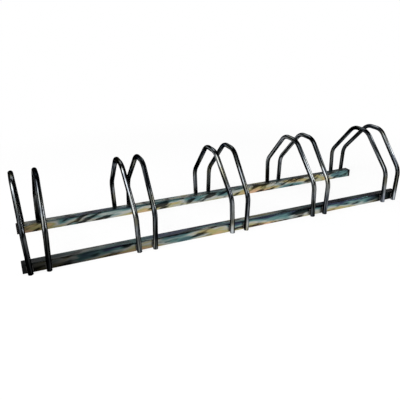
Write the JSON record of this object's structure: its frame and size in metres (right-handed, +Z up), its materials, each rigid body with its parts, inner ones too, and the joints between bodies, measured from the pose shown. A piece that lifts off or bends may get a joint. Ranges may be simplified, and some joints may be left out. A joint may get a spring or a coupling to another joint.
{
  "type": "floor bike rack",
  "caption": "Low floor rack that holds bicycles by the wheel between paired bent tube hoops, which lean apart and are welded to the outer sides of square rails.",
  "frame": {"origin": "on the floor, under the middle of the rack", "axes": "+X to the right along the rails, +Y from the front rail to the rear rail, +Z up"},
  "size_m": [1.374, 0.332, 0.2561],
  "materials": {
    "zinc_rail": "bright zinc plate with the faint yellow and blue tints of its passivation",
    "zinc_hoop": "bright zinc plate on round tube",
    "weld_bead": "zinc-plated weld bead, duller than the tubes",
    "black_plug": "black moulded polyethylene with a fine grain"
  },
  "bodies": {
    "root": {"front_rail": "zinc_rail", "rear_rail": "zinc_rail", "front_left_rail_plug": "black_plug", "front_right_rail_plug": "black_plug", "rear_left_rail_plug": "black_plug", "rear_right_rail_plug": "black_plug", "slot_1_left_hoop": "zinc_hoop", "slot_1_left_hoop_welds": "weld_bead", "slot_1_right_hoop": "zinc_hoop", "slot_1_right_hoop_welds": "weld_bead", "slot_2_left_hoop": "zinc_hoop", "slot_2_left_hoop_welds": "weld_bead", "slot_2_right_hoop": "zinc_hoop", "slot_2_right_hoop_welds": "weld_bead", "slot_3_left_hoop": "zinc_hoop", "slot_3_left_hoop_welds": "weld_bead", "slot_3_right_hoop": "zinc_hoop", "slot_3_right_hoop_welds": "weld_bead", "slot_4_left_hoop": "zinc_hoop", "slot_4_left_hoop_welds": "weld_bead", "slot_4_right_hoop": "zinc_hoop", "slot_4_right_hoop_welds": "weld_bead", "slot_5_left_hoop": "zinc_hoop", "slot_5_left_hoop_welds": "weld_bead", "slot_5_right_hoop": "zinc_hoop", "slot_5_right_hoop_welds": "weld_bead"}
  },
  "joints": []
}
